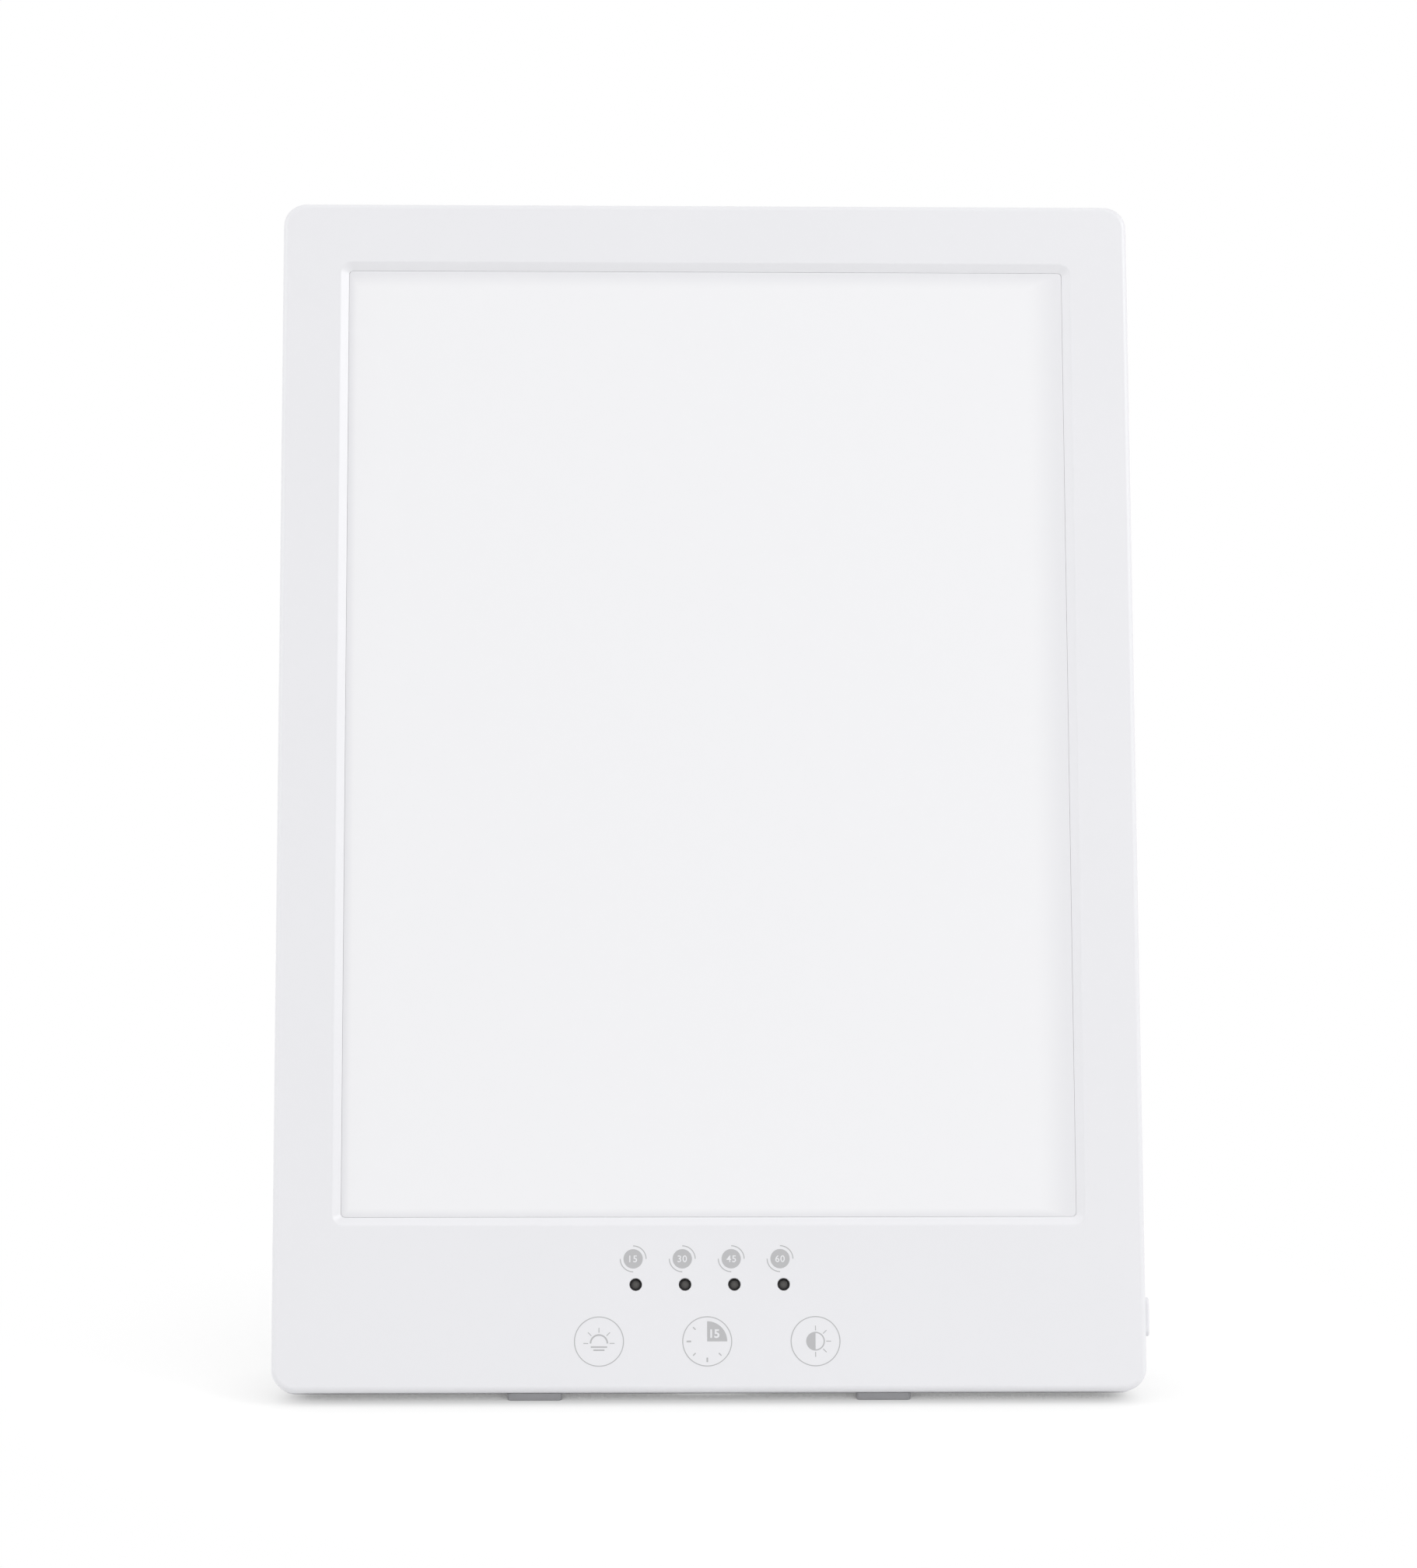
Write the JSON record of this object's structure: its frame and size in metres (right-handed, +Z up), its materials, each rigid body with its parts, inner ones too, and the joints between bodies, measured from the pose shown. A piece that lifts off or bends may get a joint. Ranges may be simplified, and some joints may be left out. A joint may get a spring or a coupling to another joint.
{
  "type": "light therapy lamp",
  "caption": "Slim portrait light therapy panel with a recessed white diffuser, printed touch controls, indicator lights, a side power button and a folding rear kickstand.",
  "frame": {"origin": "on the surface that the lamp stands on, under the middle of its front-to-back length, at the middle of the panel's width", "axes": "+Z up, the light faces -Y and leans back 18 degrees, +X to the right as seen from the front"},
  "size_m": [0.2263, 0.1144, 0.3032],
  "materials": {
    "case_plastic": "satin moulded ABS",
    "cover_plastic": "fine-textured moulded ABS",
    "stand_plastic": "fine-textured moulded ABS",
    "button_plastic": "satin moulded ABS",
    "diffuser_acrylic": "opal acrylic, matte",
    "gasket_foam": "closed-cell foam",
    "optical_film": "clear film",
    "clear_acrylic": "polished acrylic",
    "reflector_film": "white film",
    "plate_aluminium": "mill finish sheet",
    "circuit_board": "green solder mask",
    "led_strip_board": "white solder mask",
    "led_phosphor": "phosphor in silicone",
    "thermal_tape": "soft tape",
    "sensor_spring": "plated spring pads",
    "smoked_pipe": "smoke-tinted acrylic",
    "chip_epoxy": "moulded epoxy",
    "ferrite": "sintered ferrite",
    "capacitor_can": "satin can",
    "connector_nylon": "natural nylon",
    "jack_plastic": "black moulded plastic",
    "contact_metal": "bright nickel plate",
    "switch_plastic": "black moulded plastic",
    "foot_rubber": "grey rubber",
    "steel": "zinc-plated steel",
    "washer_nylon": "natural nylon",
    "wire_jacket": "red PVC jacket"
  },
  "bodies": {
    "case": {"front_bezel": "case_plastic", "rear_cover": "cover_plastic", "diffuser_gasket": "gasket_foam", "diffuser_panel": "diffuser_acrylic", "prism_film": "optical_film", "diffusion_film": "optical_film", "light_guide": "clear_acrylic", "reflector_sheet": "reflector_film", "back_plate": "plate_aluminium", "control_board": "circuit_board", "touch_pads": "sensor_spring", "indicator_light_pipe": "smoked_pipe", "indicator_leds": "led_phosphor", "controller_chip": "chip_epoxy", "driver_inductors": "ferrite", "filter_capacitors": "capacitor_can", "board_connectors": "connector_nylon", "power_jack": "jack_plastic", "power_jack_pin": "contact_metal", "power_jack_contact": "contact_metal", "power_switch": "switch_plastic", "case_screws": "steel", "plate_screws": "steel", "board_screws": "steel", "led_board_left": "led_strip_board", "led_row_left": "led_phosphor", "thermal_tape_left": "thermal_tape", "led_wire_left": "wire_jacket", "front_foot_left": "foot_rubber", "hinge_pin_left": "steel", "hinge_washer_left": "washer_nylon", "led_board_right": "led_strip_board", "led_row_right": "led_phosphor", "thermal_tape_right": "thermal_tape", "led_wire_right": "wire_jacket", "front_foot_right": "foot_rubber", "hinge_pin_right": "steel", "hinge_washer_right": "washer_nylon"},
    "kickstand": {"kickstand_leg": "stand_plastic", "kickstand_foot_pad": "foot_rubber"},
    "button": {"power_button": "button_plastic", "switch_plunger": "switch_plastic"}
  },
  "joints": [
    {"name": "kickstand_hinge", "type": "hinge", "parent": "case", "child": "kickstand", "pos_m": [0, 0.01837, 0.1854], "axis": [1, 0, 0], "range_deg": [-28, 0]},
    {"name": "power_button_press", "type": "slide", "parent": "case", "child": "button", "axis": [-1, 0, 0], "range_m": [0, 0.0006], "stiffness_N_per_m": 1200, "springref_m": -0.0012}
  ]
}
